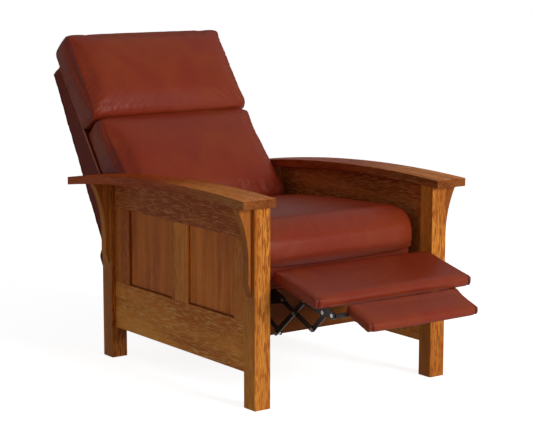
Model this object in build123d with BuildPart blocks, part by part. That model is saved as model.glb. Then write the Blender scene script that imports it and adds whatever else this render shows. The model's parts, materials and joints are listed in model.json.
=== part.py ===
from build123d import *
import os
from math import atan2, copysign, cos, degrees, dist, pi, radians, sin, sqrt

os.makedirs("parts", exist_ok=True)

# A push-back recliner in quarter-sawn oak and leather, shown half reclined with its footrest out.
# X runs across the chair, -Y is the front, Z is up, and every length is in millimetres.
# The origin is on the floor, in the middle of the footprint of the opened chair.
# "Left" is the sitter's left, on +X. "Ahead" and "behind" are counted from the middle of the side frames.

# Side frames
frame_width = 738
frame_depth = 872
leg_size = 57
leg_easing = 1.5
floor_gap = 103
bottom_rail_height = 154
opening_height = 248.5
rail_thickness = 19
rail_setback = 15
front_stile_width = 71
centre_stile_width = 92
rear_stile_width = 89
front_panel_width = 251
panel_thickness = 6
panel_setback = 8
panel_tongue = 8
panel_play = 0.3

# Bow arms
arm_width = 116
arm_thickness = 26
arm_side_overhang = 56.5
arm_front_overhang = 25
arm_rear_overhang = 126
arm_crown_height = 641.8
arm_crown_ahead = 167.5
arm_bow_radius = 5189
arm_easing = 2
trim_overrun = 5

# Corbels under the arms
corbel_thickness = 28
corbel_length = 272
corbel_reach = 53
corbel_tail = 11.5
corbel_flare = 165
corbel_tip = 42

# Cross rails between the two sides
cross_rail_thickness = 20
front_cross_rail_ahead = 150
front_cross_rail_gap = 141
front_cross_rail_height = 144
rear_cross_rail_height = 100

# Steel mechanism, its layers counted outwards from the seat plates
plate_half_span = 225
link_gauge = 3
link_gap = 0.6
link_width = 16
rear_link_gap = 2.6
rivet_radius = 4
rivet_head_radius = 6
rivet_head_height = 2
rivet_play = 0.3
running_play = 0.05

# Pivots of the mechanism, ahead of or behind the middle of the side frames, and above the floor
front_pivot_ahead = 383.5
front_pivot_height = 310.6
knee_ahead = 529
knee_height = 246.9
tail_ahead = 360.2
tail_height = 205.7
rear_pivot_ahead = 222
rear_pivot_height = 278.4
back_pivot_behind = 330
back_pivot_height = 420
crossing_share = 0.443

# Glide under the seat
track_length = 435
track_ahead = 125
track_flange_height = 76
slide_height = 27.4
slide_length = 60
slide_width = 8
slide_neck = 9
slide_play = 0.3
glide_height = 315
front_slide_ahead = 60
rear_slide_behind = 240

# Seat frame, springs and seat cushion
seat_rail_width = 25
seat_rail_bottom = 350
seat_rail_top = 413.5
seat_front_rail_bottom = 338
seat_front_rail_half_width = 285
seat_front_ahead = 358
seat_front_rail_depth = 22
seat_rear_behind = 277
seat_rear_rail_depth = 22
plate_top = 372
plate_bottom = 300
plate_lobe_radius = 11
back_lobe_radius = 14
spring_wire = 4
spring_run = 24
spring_turns = 24
spring_count = 4
spring_spacing = 110
seat_cushion_half_width = 300
seat_cushion_height = 121
seat_cushion_rear_height = 90
seat_cushion_front_ahead = 350
seat_cushion_rear_behind = 250
seat_cushion_seat_play = 0.3
seat_cushion_front_lean = 10
seat_cushion_crown = 10
seat_cushion_roll = 20
seat_cushion_rear_bulge = 6
seat_cushion_draw = 6
seat_cushion_edge = 16

# Back: "down" runs from the top of its frame, "deep" runs forwards from its rear face
back_lean = 30
back_top_behind = 877
back_top_height = 908
back_half_width = 300
back_side_thickness = 43
back_skin = 6
back_frame_length = 715
back_top_depth = 66.6
back_kink_down = 430
back_kink_depth = 120
back_bottom_depth = 128
back_rail_width = 60
back_rail_thickness = 36
back_rail_inset = 14
back_rail_end_margin = 15
back_roll_start = 652
back_roll_length = 83
back_roll_depth = 41
bracket_width = 36
bracket_gauge = 4
bracket_end_up = 25
bracket_end_depth = 75
back_cushion_half_width = 306
back_cushion_draw = 6
back_cushion_edge = 20
back_cushion_play = 0.5

# Head pillow and lower back cushion, in the same terms
pillow_half_width = 316
pillow_rear_top_rise = 46
pillow_front_top_rise = 72
pillow_front_top_depth = 181
pillow_front_low_down = 262
pillow_front_low_depth = 216
pillow_rear_low_down = 268
pillow_front_bulge = 24
pillow_top_bulge = 12
lumbar_rear_top_down = 277
lumbar_front_top_down = 280
lumbar_front_top_depth = 218
lumbar_front_low_depth = 300
lumbar_low_slant = 20
lumbar_hinge_gap = 36
lumbar_front_bulge = 22
cushion_joint_bulge = 4
lumbar_low_bulge = 8

# Footrest: main pad, its board and brackets, and the flip pad beyond it
pad_tilt = 13.9
pad_half_width = 298
pad_length = 216
pad_thickness = 33
pad_rear_ahead = 430
pad_rear_height = 415
pad_crown = 4
pad_front_bulge = 6
pad_rear_bulge = 3
pad_draw = 2
pad_edge = 7
pad_rear_pivot_along = 92.2
pad_rear_pivot_below = 63.3
pad_front_pivot_along = 186.4
pad_front_pivot_below = 60.5
flip_pivot_along = 229.1
flip_pivot_below = 51.6
board_thickness = 10
board_margin = 14
bracket_flange = 22
bracket_rear = 80
bracket_front = 202
flip_extra_tilt = 7.1
flip_half_width = 208
flip_start = 12
flip_length = 114
flip_top = 38.8
flip_thickness = 28
flip_seat_play = 0.3
flip_arm_half_span = 190
flip_arm_width = 22
flip_arm_length = 90
flip_strap_width = 20
flip_strap_start = 8

# Sections across a cushion: how many, and how full the first and last of them are
cushion_sections = 9
cushion_end_share = 0.12

# Places worked out from the driving sizes
pad_slope = radians(pad_tilt)
flip_slope = radians(pad_tilt + flip_extra_tilt)
back_slope = radians(back_lean)


def below_pad(along, below):
    """A place on the footrest brackets, from along and below the main pad: how far ahead it is, and how high."""
    ahead = pad_rear_ahead + along * cos(pad_slope) - below * sin(pad_slope)
    return (ahead, pad_rear_height - along * sin(pad_slope) - below * cos(pad_slope))


pad_rear_pivot_ahead, pad_rear_pivot_height = below_pad(pad_rear_pivot_along, pad_rear_pivot_below)
pad_front_pivot_ahead, pad_front_pivot_height = below_pad(pad_front_pivot_along, pad_front_pivot_below)
flip_pivot_ahead, flip_pivot_height = below_pad(flip_pivot_along, flip_pivot_below)
flip_reach = flip_start + flip_length + pad_front_bulge
front_reach = flip_pivot_ahead + cos(flip_slope) * flip_reach + sin(flip_slope) * flip_top
frame_y = (front_reach - back_top_behind) / 2
frame_half = frame_width / 2
leg_x = frame_half - leg_size / 2
leg_inner_x = frame_half - leg_size
front_leg_y = frame_y - frame_depth / 2 + leg_size / 2
rear_leg_y = frame_y + frame_depth / 2 - leg_size / 2
rail_front_y = front_leg_y + leg_size / 2
rail_rear_y = rear_leg_y - leg_size / 2
rail_outer_x = frame_half - rail_setback
rail_inner_x = rail_outer_x - rail_thickness
opening_bottom = floor_gap + bottom_rail_height
opening_top = opening_bottom + opening_height
arm_outer_x = frame_half + arm_side_overhang
arm_front_y = frame_y - frame_depth / 2 - arm_front_overhang
arm_rear_y = frame_y + frame_depth / 2 + arm_rear_overhang
arm_crown_y = frame_y - arm_crown_ahead


def save(piece, label):
    """Label a finished piece and write its file."""
    piece.part.label = label
    export_step(piece.part, f"parts/{label}.step")


def save_sides(piece, label):
    """Write a left-hand piece and its mirror image, each in its own file."""
    save(piece, f"{label}_left")
    with BuildPart() as twin:
        mirror(piece.part, about=Plane.YZ)
    save(twin, f"{label}_right")


def save_pair(piece, label):
    """Write a left-hand piece and its mirror image as one group."""
    with BuildPart() as group:
        add(piece.part)
        mirror(piece.part, about=Plane.YZ)
    save(group, label)


def board(x_span, y_span, z_span):
    """A rectangular board between three pairs of faces."""
    with BuildPart() as piece:
        with BuildSketch(Plane.XY.offset(z_span[0])):
            with Locations(((x_span[0] + x_span[1]) / 2, (y_span[0] + y_span[1]) / 2)):
                Rectangle(x_span[1] - x_span[0], y_span[1] - y_span[0])
        extrude(amount=z_span[1] - z_span[0])
    return piece


def profile(plane, outline, depth):
    """A closed outline on a plane, extruded along the plane's normal."""
    with BuildPart() as piece:
        with BuildSketch(plane):
            with BuildLine():
                Polyline(*outline, close=True)
            make_face()
        extrude(amount=depth)
    return piece


def arm_top(y):
    """Height of the top of the bowed arm."""
    return arm_crown_height - arm_bow_radius + sqrt(arm_bow_radius**2 - (y - arm_crown_y) ** 2)


def arm_curve(drop):
    """The arm's bow through its two ends and its crown, lowered by a drop."""
    return [(y, arm_top(y) - drop) for y in (arm_front_y, arm_crown_y, arm_rear_y)]


# Bow arm: a long board with the same bow above and below
top_curve = arm_curve(0)
low_curve = arm_curve(arm_thickness)
with BuildPart() as bow_arm:
    with BuildSketch(Plane.YZ.offset(arm_outer_x - arm_width)):
        with BuildLine():
            ThreePointArc(*top_curve)
            Line(top_curve[2], low_curve[2])
            ThreePointArc(*low_curve)
            Line(low_curve[0], top_curve[0])
        make_face()
    extrude(amount=arm_width)
    fillet(bow_arm.edges(), radius=arm_easing)
save_sides(bow_arm, "bow_arm")

# Everything above the underside of the arm, which trims what stands under it
trim_top = arm_crown_height + trim_overrun
with BuildPart() as arm_space:
    with BuildSketch(Plane.YZ):
        with BuildLine():
            ThreePointArc(*low_curve)
            Line(low_curve[2], (arm_rear_y, trim_top))
            Line((arm_rear_y, trim_top), (arm_front_y, trim_top))
            Line((arm_front_y, trim_top), low_curve[0])
        make_face()
    extrude(amount=arm_outer_x)


def leg(label, y_centre):
    """A square leg from the floor to the underside of the arm."""
    with BuildPart() as post:
        with BuildSketch():
            with Locations((leg_x, y_centre)):
                Rectangle(leg_size, leg_size)
        extrude(amount=arm_crown_height)
        chamfer(post.edges().filter_by(Axis.Z), length=leg_easing)
        chamfer(post.faces().sort_by(Axis.Z)[0].edges(), length=leg_easing)
        add(arm_space.part, mode=Mode.SUBTRACT)
    save_sides(post, label)


leg("front_leg", front_leg_y)
leg("rear_leg", rear_leg_y)

# The side panels stand in grooves, with a little play all round
front_stile_rear_y = rail_front_y + front_stile_width
centre_stile_front_y = front_stile_rear_y + front_panel_width
centre_stile_rear_y = centre_stile_front_y + centre_stile_width
rear_stile_front_y = rail_rear_y - rear_stile_width
panel_outer_x = rail_outer_x - panel_setback
panel_x = (panel_outer_x - panel_thickness, panel_outer_x)
panel_z = (opening_bottom - panel_tongue, opening_top + panel_tongue)
front_panel_y = (front_stile_rear_y - panel_tongue, centre_stile_front_y + panel_tongue)
rear_panel_y = (centre_stile_rear_y - panel_tongue, rear_stile_front_y + panel_tongue)
save_sides(board(panel_x, front_panel_y, panel_z), "front_panel")
save_sides(board(panel_x, rear_panel_y, panel_z), "rear_panel")


def grown(span, play):
    """A pair of faces moved apart by a play on each side."""
    return (span[0] - play, span[1] + play)


groove_x = grown(panel_x, panel_play)
groove_z = grown(panel_z, panel_play)
front_groove = board(groove_x, grown(front_panel_y, panel_play), groove_z)
rear_groove = board(groove_x, grown(rear_panel_y, panel_play), groove_z)


def framed_board(label, y_span, z_span):
    """A rail or stile of a side frame, grooved for the panels and trimmed under the arm."""
    blank = board((rail_inner_x, rail_outer_x), y_span, z_span)
    with BuildPart() as piece:
        add(blank.part)
        add(front_groove.part, mode=Mode.SUBTRACT)
        add(rear_groove.part, mode=Mode.SUBTRACT)
        add(arm_space.part, mode=Mode.SUBTRACT)
    save_sides(piece, label)


rail_y = (rail_front_y, rail_rear_y)
stile_z = (opening_bottom, opening_top)
framed_board("bottom_rail", rail_y, (floor_gap, opening_bottom))
framed_board("top_rail", rail_y, (opening_top, arm_crown_height))
framed_board("front_stile", (rail_front_y, front_stile_rear_y), stile_z)
framed_board("centre_stile", (centre_stile_front_y, centre_stile_rear_y), stile_z)
framed_board("rear_stile", (rear_stile_front_y, rail_rear_y), stile_z)


def corbel(label, y_centre):
    """A bracket glued to the outside of a leg, flared under the arm and tapered to a tip."""
    top = arm_top(y_centre) - arm_thickness
    tip = (frame_half, top - corbel_length)
    tail = (frame_half + corbel_tail, tip[1] + corbel_tip)
    flare = (frame_half + corbel_tail, top - corbel_flare)
    shoulder = (frame_half + corbel_reach, top)
    crest = (frame_half + corbel_reach, arm_crown_height)
    inner_crest = (frame_half, arm_crown_height)
    with BuildPart() as piece:
        with BuildSketch(Plane.XZ.offset(-y_centre)):
            with BuildLine():
                Line(tip, tail)
                Line(tail, flare)
                TangentArc(flare, shoulder, tangent=(0, 1))
                Line(shoulder, crest)
                Line(crest, inner_crest)
                Line(inner_crest, tip)
            make_face()
        extrude(amount=corbel_thickness / 2, both=True)
        add(arm_space.part, mode=Mode.SUBTRACT)
    save_sides(piece, label)


corbel("front_corbel", front_leg_y)
corbel("rear_corbel", rear_leg_y)

# Cross rails tie the two sides together, the front one set back to clear the folded footrest
front_cross_y = frame_y - front_cross_rail_ahead
front_cross_rail = board(
    (-rail_inner_x, rail_inner_x),
    (front_cross_y, front_cross_y + cross_rail_thickness),
    (front_cross_rail_gap, front_cross_rail_gap + front_cross_rail_height),
)
save(front_cross_rail, "front_cross_rail")
rear_cross_rail = board(
    (-leg_inner_x, leg_inner_x),
    (rear_leg_y - cross_rail_thickness / 2, rear_leg_y + cross_rail_thickness / 2),
    (floor_gap, floor_gap + rear_cross_rail_height),
)
save(rear_cross_rail, "rear_cross_rail")

# Mechanism: its pivots in the side view, as (y, z)
front_pivot = (frame_y - front_pivot_ahead, front_pivot_height)
knee = (frame_y - knee_ahead, knee_height)
tail_pivot = (frame_y - tail_ahead, tail_height)
pad_rear_pivot = (frame_y - pad_rear_pivot_ahead, pad_rear_pivot_height)
pad_front_pivot = (frame_y - pad_front_pivot_ahead, pad_front_pivot_height)
flip_pivot = (frame_y - flip_pivot_ahead, flip_pivot_height)
rear_pivot = (frame_y - rear_pivot_ahead, rear_pivot_height)
back_pivot = (frame_y + back_pivot_behind, back_pivot_height)
crossing = (
    front_pivot[0] + crossing_share * (knee[0] - front_pivot[0]),
    front_pivot[1] + crossing_share * (knee[1] - front_pivot[1]),
)
link_pitch = link_gauge + link_gap
plate_x = plate_half_span
front_link_x = plate_x + link_pitch
crossing_gap = 2 * (rivet_head_height + rivet_play)
outer_link_x = front_link_x + link_gauge + crossing_gap
bracket_x = outer_link_x + link_pitch
rear_link_x = plate_x - rear_link_gap - link_gauge
plate_outer_x = plate_x + link_gauge
front_link_outer_x = front_link_x + link_gauge
outer_link_outer_x = outer_link_x + link_gauge
bracket_outer_x = bracket_x + link_gauge
rear_link_outer_x = rear_link_x + link_gauge
pivot_hole = rivet_radius + running_play


def bar(inner_x, start, end, holes):
    """A flat link with round ends between two pivots, drilled where its rivets pass."""
    middle = ((start[0] + end[0]) / 2, (start[1] + end[1]) / 2)
    turn = degrees(atan2(end[1] - start[1], end[0] - start[0]))
    with BuildPart() as link:
        with BuildSketch(Plane.YZ.offset(inner_x)):
            with Locations(middle):
                SlotCenterToCenter(dist(start, end), link_width, rotation=turn)
            with Locations(*holes):
                Circle(pivot_hole, mode=Mode.SUBTRACT)
        extrude(amount=link_gauge)
    return link


save_sides(bar(front_link_x, front_pivot, knee, (front_pivot, crossing, knee)), "front_link")
save_sides(bar(outer_link_x, tail_pivot, pad_rear_pivot, (tail_pivot, crossing, pad_rear_pivot)), "outer_link")
save_pair(bar(plate_x, knee, pad_front_pivot, (knee,)), "inner_links")
save_pair(bar(rear_link_x, tail_pivot, rear_pivot, (rear_pivot,)), "rear_links")


def turned_pin(at, steps):
    """A pin turned in steps, each between two faces and with its own radius."""
    with BuildPart() as pin:
        for inner_x, outer_x, radius in steps:
            with BuildSketch(Plane.YZ.offset(inner_x)):
                with Locations(at):
                    Circle(radius)
            extrude(amount=outer_x - inner_x)
    return pin


def rivet(at, inner_x, outer_x):
    """A rivet whose shank ends at two faces, with a head beyond each of them."""
    steps = (
        (inner_x - rivet_head_height, inner_x, rivet_head_radius),
        (inner_x, outer_x, rivet_radius),
        (outer_x, outer_x + rivet_head_height, rivet_head_radius),
    )
    return turned_pin(at, steps)


def stud(at, face_x, link_x):
    """A riveted stud that bridges the layers from a face to the link that carries it."""
    link_outer_x = link_x + link_gauge
    steps = (
        (face_x, link_x, rivet_head_radius),
        (link_x, link_outer_x, rivet_radius),
        (link_outer_x, link_outer_x + rivet_head_height, rivet_head_radius),
    )
    return turned_pin(at, steps)


def save_pins(label, *pins):
    """Write the pins of one body, on both sides of the chair, as one group."""
    with BuildPart() as group:
        for pin in pins:
            add(pin.part)
            mirror(pin.part, about=Plane.YZ)
    save(group, label)


# Each rivet is tight in the link that carries it, and its far head stands off the link that turns.
# The front and outer links cross with room between them for the heads that pass as they fold.
# The tail and the pad's front pivot are long studs that end just clear of the link beside them.
save_pins(
    "front_link_rivets",
    rivet(crossing, front_link_x, outer_link_outer_x + rivet_play),
    rivet(knee, plate_x - rivet_play, front_link_outer_x),
)
save_pins(
    "outer_link_rivets",
    rivet(pad_rear_pivot, outer_link_x, bracket_outer_x + rivet_play),
    stud(tail_pivot, rear_link_outer_x + rivet_play, outer_link_x),
)
save_pins(
    "footrest_rivets",
    rivet(flip_pivot, outer_link_x - rivet_play, bracket_outer_x),
    stud(pad_front_pivot, plate_outer_x + rivet_play, bracket_x),
)

# Seat plate: carries the front links, the rear links, the slides and the back
seat_front_y = frame_y - seat_front_ahead
seat_rail_front_y = seat_front_y + seat_front_rail_depth
seat_rear_y = frame_y + seat_rear_behind
seat_rail_rear_y = seat_rear_y - seat_rear_rail_depth
slide_points = ((frame_y - front_slide_ahead, glide_height), (frame_y + rear_slide_behind, glide_height))
plate_outline = (
    (front_pivot[0], front_pivot[1] + plate_lobe_radius),
    (seat_rail_front_y + link_gauge, seat_front_rail_bottom),
    (seat_rail_front_y + link_gauge, plate_top),
    (seat_rail_rear_y, plate_top),
    (back_pivot[0] - back_lobe_radius, back_pivot[1]),
    (back_pivot[0] + back_lobe_radius, back_pivot[1]),
    (seat_rear_y + back_lobe_radius, plate_bottom),
    (rear_pivot[0] + 2 * plate_lobe_radius, plate_bottom),
    (rear_pivot[0], rear_pivot[1] - plate_lobe_radius),
    (front_pivot[0], front_pivot[1] - plate_lobe_radius),
)
with BuildPart() as seat_plate:
    with BuildSketch(Plane.YZ.offset(plate_x)):
        with BuildLine():
            Polyline(*plate_outline, close=True)
        make_face()
        with Locations(front_pivot, rear_pivot):
            Circle(plate_lobe_radius)
        with Locations(back_pivot):
            Circle(back_lobe_radius)
        with Locations(front_pivot, rear_pivot, back_pivot, *slide_points):
            Circle(pivot_hole, mode=Mode.SUBTRACT)
    extrude(amount=link_gauge)
save_sides(seat_plate, "seat_plate")

# Rivets of the seat plate: the front links', the rear links' and the back's pivots
back_inner_x = back_half_width - back_side_thickness
rear_shoulder_x = rear_link_outer_x + rivet_play
rear_link_pin = turned_pin(
    rear_pivot,
    (
        (rear_link_x - rivet_play - rivet_head_height, rear_link_x - rivet_play, rivet_head_radius),
        (rear_link_x - rivet_play, rear_shoulder_x, rivet_radius),
        (rear_shoulder_x, plate_x, rivet_head_radius),
        (plate_x, plate_outer_x, rivet_radius),
        (plate_outer_x, plate_outer_x + rivet_head_height, rivet_head_radius),
    ),
)
save_pins(
    "seat_rivets",
    rivet(front_pivot, plate_x, front_link_outer_x + rivet_play),
    rear_link_pin,
    rivet(back_pivot, plate_x, back_inner_x + rivet_play),
)

# Slides on necks beside the seat plates, which run in steel tracks bolted to the bottom rails
slide_outer_x = plate_outer_x + slide_neck
slide_inner_x = slide_outer_x - slide_width
with BuildPart() as seat_slides:
    for slide_point in slide_points:
        with BuildSketch(Plane.YZ.offset(slide_inner_x)):
            with Locations(slide_point):
                Rectangle(slide_length, slide_height)
        extrude(amount=slide_width)
        with BuildSketch(Plane.YZ.offset(plate_x)):
            with Locations(slide_point):
                Circle(rivet_radius)
        extrude(amount=slide_inner_x - plate_x)
save_pair(seat_slides, "seat_slides")

track_web_x = slide_outer_x + slide_play
track_low_z = glide_height - slide_height / 2 - slide_play
track_high_z = glide_height + slide_height / 2 + slide_play
track_front_y = frame_y - track_ahead
track_outline = (
    (slide_inner_x, track_high_z),
    (track_web_x, track_high_z),
    (track_web_x, track_low_z),
    (slide_inner_x, track_low_z),
    (slide_inner_x, track_low_z - link_gauge),
    (rail_inner_x - link_gauge, track_low_z - link_gauge),
    (rail_inner_x - link_gauge, opening_bottom - track_flange_height),
    (rail_inner_x, opening_bottom - track_flange_height),
    (rail_inner_x, track_low_z),
    (track_web_x + link_gauge, track_low_z),
    (track_web_x + link_gauge, track_high_z + link_gauge),
    (slide_inner_x, track_high_z + link_gauge),
)
save_sides(profile(Plane.XZ.offset(-track_front_y), track_outline, -track_length), "base_track")

# Seat frame: two side rails on the plates, a front rail and a rear rail
seat_side_rail = board(
    (plate_x - seat_rail_width, plate_x),
    (seat_rail_front_y, seat_rail_rear_y),
    (seat_rail_bottom, seat_rail_top),
)
save_sides(seat_side_rail, "seat_side_rail")
seat_rear_rail = board((-plate_x, plate_x), (seat_rail_rear_y, seat_rear_y), (seat_rail_bottom, seat_rail_top))
save(seat_rear_rail, "seat_rear_rail")
front_rail_top = seat_rail_top + spring_wire + seat_cushion_seat_play
front_rail_blank = board(
    (-seat_front_rail_half_width, seat_front_rail_half_width),
    (seat_front_y, seat_rail_front_y),
    (seat_front_rail_bottom, front_rail_top),
)
spring_ledge = board(
    (-plate_x, plate_x),
    (seat_front_y + seat_front_rail_depth / 2, seat_rail_front_y),
    (seat_rail_top, front_rail_top),
)
with BuildPart() as seat_front_rail:
    add(front_rail_blank.part)
    add(spring_ledge.part, mode=Mode.SUBTRACT)
save(seat_front_rail, "seat_front_rail")

# Sinuous springs from the front rail's ledge to the rear rail, straight runs joined by half turns
spring_z = seat_rail_top + spring_wire / 2
spring_first_y = seat_rail_front_y - seat_front_rail_depth / 4
spring_last_y = seat_rear_y - seat_rear_rail_depth / 2
spring_pitch = (spring_last_y - spring_first_y) / spring_turns
half_run = spring_run / 2


def spring(x_centre):
    """One spring, an unbroken wire that swings from side to side along the seat."""
    with BuildPart() as wire:
        with BuildLine(Plane.XY.offset(spring_z)) as route:
            side = 1
            for turn in range(spring_turns):
                y = spring_first_y + turn * spring_pitch
                Line((x_centre - side * half_run, y), (x_centre + side * half_run, y))
                CenterArc((x_centre + side * half_run, y + spring_pitch / 2), spring_pitch / 2, -90, side * 180)
                side = -side
            Line((x_centre - side * half_run, spring_last_y), (x_centre + side * half_run, spring_last_y))
        with BuildSketch(Plane(origin=route.line @ 0, z_dir=route.line % 0)):
            Circle(spring_wire / 2)
        sweep(path=route.line)
    return wire


with BuildPart() as seat_springs:
    for number in range(spring_count):
        add(spring((number - (spring_count - 1) / 2) * spring_spacing).part)
save(seat_springs, "seat_springs")


def drawn_in(corner, centre, amount):
    """A corner of a cushion's section, pulled towards its centre."""
    return tuple(c + copysign(amount, m - c) for c, m in zip(corner, centre))


def puffed(start, end, bulge):
    """The middle of one edge of a section, pushed outwards, for corners listed clockwise."""
    run = dist(start, end)
    out = (-(end[1] - start[1]) / run, (end[0] - start[0]) / run)
    return tuple((s + e) / 2 + bulge * o for s, e, o in zip(start, end, out))


def cushion(plane_at, half_width, corners, bulges, draw, edge_radius):
    """A cushion across the chair: crowned in the middle, drawn in at its ends, flat where it is seated."""
    centre = tuple(sum(values) / len(corners) for values in zip(*corners))
    draws = [draw if before and after else 0 for before, after in zip(bulges[-1:] + bulges[:-1], bulges)]
    with BuildPart() as block:
        for number in range(cushion_sections):
            place = -cos(pi * number / (cushion_sections - 1))
            fullness = max(cushion_end_share, sqrt(abs(1 - place**4)))
            slack = 1 - fullness
            ends = [drawn_in(corner, centre, pull * slack) for corner, pull in zip(corners, draws)]
            with BuildSketch(plane_at(place * half_width)) as section:
                with BuildLine():
                    for start, end, bulge in zip(ends, ends[1:] + ends[:1], bulges):
                        if bulge:
                            ThreePointArc(start, puffed(start, end, bulge * fullness), end)
                        else:
                            Line(start, end)
                make_face()
                fillet(section.vertices(), radius=edge_radius)
        loft()
    return block


# Seat cushion: flat below, crowned above, with a rolled front
seat_cushion_bottom = front_rail_top + seat_cushion_seat_play
seat_cushion_top = seat_cushion_bottom + seat_cushion_height
seat_cushion_front_y = frame_y - seat_cushion_front_ahead
seat_cushion_rear_y = frame_y + seat_cushion_rear_behind
seat_cushion = cushion(
    Plane.YZ.offset,
    seat_cushion_half_width,
    (
        (seat_cushion_front_y, seat_cushion_bottom),
        (seat_cushion_front_y + seat_cushion_front_lean, seat_cushion_top),
        (seat_cushion_rear_y, seat_cushion_bottom + seat_cushion_rear_height),
        (seat_cushion_rear_y, seat_cushion_bottom),
    ),
    (seat_cushion_roll, seat_cushion_crown, seat_cushion_rear_bulge, 0),
    seat_cushion_draw,
    seat_cushion_edge,
)
save(seat_cushion, "seat_cushion")


def back_plane(x):
    """Side view of the back: its own x runs down it, its own y forwards, from its top rear edge."""
    return Plane(
        origin=(x, frame_y + back_top_behind, back_top_height),
        x_dir=(0, -sin(back_slope), -cos(back_slope)),
        z_dir=(-1, 0, 0),
    )


def back_place(point):
    """A point of the side view in the back's own terms, as (down, deep)."""
    y = point[0] - frame_y - back_top_behind
    z = point[1] - back_top_height
    return (-y * sin(back_slope) - z * cos(back_slope), -y * cos(back_slope) + z * sin(back_slope))


# Back frame: two upholstered sides, two cross rails, the outer back and the hinge brackets
side_outline = (
    (0, back_skin),
    (0, back_top_depth),
    (back_kink_down, back_kink_depth),
    (back_frame_length, back_bottom_depth),
    (back_frame_length, back_skin),
)
save_sides(profile(back_plane(back_half_width), side_outline, back_side_thickness), "back_side")

back_rail_starts = (back_rail_end_margin, back_frame_length - back_rail_end_margin - back_rail_width)
with BuildPart() as back_rails:
    with BuildSketch(back_plane(back_inner_x)):
        for rail_start in back_rail_starts:
            with Locations((rail_start + back_rail_width / 2, back_rail_inset + back_rail_thickness / 2)):
                Rectangle(back_rail_width, back_rail_thickness)
    extrude(amount=2 * back_inner_x)
save(back_rails, "back_rails")

with BuildPart() as outer_back:
    with BuildSketch(back_plane(back_half_width)):
        with BuildLine():
            Line((0, back_skin), (0, 0))
            Line((0, 0), (back_roll_start, 0))
            ThreePointArc(
                (back_roll_start, 0),
                (back_roll_start + back_roll_length / 2, -back_roll_depth),
                (back_roll_start + back_roll_length, back_skin),
            )
            Line((back_roll_start + back_roll_length, back_skin), (0, back_skin))
        make_face()
    extrude(amount=2 * back_half_width)
save(outer_back, "outer_back")

bracket_top = back_place(back_pivot)
bracket_end = (back_frame_length - bracket_end_up, bracket_end_depth)
bracket_middle = ((bracket_top[0] + bracket_end[0]) / 2, (bracket_top[1] + bracket_end[1]) / 2)
bracket_turn = degrees(atan2(bracket_end[1] - bracket_top[1], bracket_end[0] - bracket_top[0]))
with BuildPart() as back_bracket:
    with BuildSketch(back_plane(back_inner_x)):
        with Locations(bracket_middle):
            SlotCenterToCenter(dist(bracket_top, bracket_end), bracket_width, rotation=bracket_turn)
        with Locations(bracket_top):
            Circle(pivot_hole, mode=Mode.SUBTRACT)
    extrude(amount=bracket_gauge)
save_pair(back_bracket, "back_brackets")


def back_face(down):
    """Depth of the front edge of the back's sides, with the cushions' play on it."""
    upper_rise = (back_kink_depth - back_top_depth) * down / back_kink_down
    lower_run = (down - back_kink_down) / (back_frame_length - back_kink_down)
    lower_rise = (back_bottom_depth - back_kink_depth) * lower_run
    depth = back_top_depth + upper_rise if down < back_kink_down else back_kink_depth + lower_rise
    return depth + back_cushion_play


head_pillow = cushion(
    back_plane,
    pillow_half_width,
    (
        (-pillow_rear_top_rise, back_face(0)),
        (-pillow_front_top_rise, pillow_front_top_depth),
        (pillow_front_low_down, pillow_front_low_depth),
        (pillow_rear_low_down, back_face(pillow_rear_low_down)),
    ),
    (pillow_top_bulge, pillow_front_bulge, cushion_joint_bulge, 0),
    back_cushion_draw,
    back_cushion_edge,
)
save(head_pillow, "head_pillow")

# The lower cushion ends above the hinge, its front a little higher than its rear
lumbar_rear_low_down = bracket_top[0] - lumbar_hinge_gap
lumbar_front_low_down = lumbar_rear_low_down - lumbar_low_slant
lower_back_cushion = cushion(
    back_plane,
    back_cushion_half_width,
    (
        (lumbar_rear_top_down, back_face(lumbar_rear_top_down)),
        (lumbar_front_top_down, lumbar_front_top_depth),
        (lumbar_front_low_down, lumbar_front_low_depth),
        (lumbar_rear_low_down, back_face(lumbar_rear_low_down)),
        (back_kink_down, back_face(back_kink_down)),
    ),
    (cushion_joint_bulge, lumbar_front_bulge, lumbar_low_bulge, 0, 0),
    back_cushion_draw,
    back_cushion_edge,
)
save(lower_back_cushion, "lower_back_cushion")


def tilted_plane(x, origin, slope):
    """Side view of a footrest pad: its own x runs forwards along it, its own y up through it."""
    return Plane(origin=(x, *origin), x_dir=(0, -cos(slope), -sin(slope)), z_dir=(-1, 0, 0))


def pad_plane(x):
    """Side view of the main pad, from its rear top edge."""
    return tilted_plane(x, (frame_y - pad_rear_ahead, pad_rear_height), pad_slope)


def flip_plane(x):
    """Side view of the flip pad, from its pivot."""
    return tilted_plane(x, flip_pivot, flip_slope)


def pad_place(point):
    """A point of the side view in the main pad's own terms."""
    y = point[0] - frame_y + pad_rear_ahead
    z = point[1] - pad_rear_height
    return (-y * cos(pad_slope) - z * sin(pad_slope), -y * sin(pad_slope) + z * cos(pad_slope))


def pad_block(plane_at, half_width, start, length, top, thickness):
    """A thin upholstered pad, crowned above and flat below."""
    corners = (
        (start, top - thickness),
        (start, top),
        (start + length, top),
        (start + length, top - thickness),
    )
    bulges = (pad_rear_bulge, pad_crown, pad_front_bulge, 0)
    return cushion(plane_at, half_width, corners, bulges, pad_draw, pad_edge)


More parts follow.
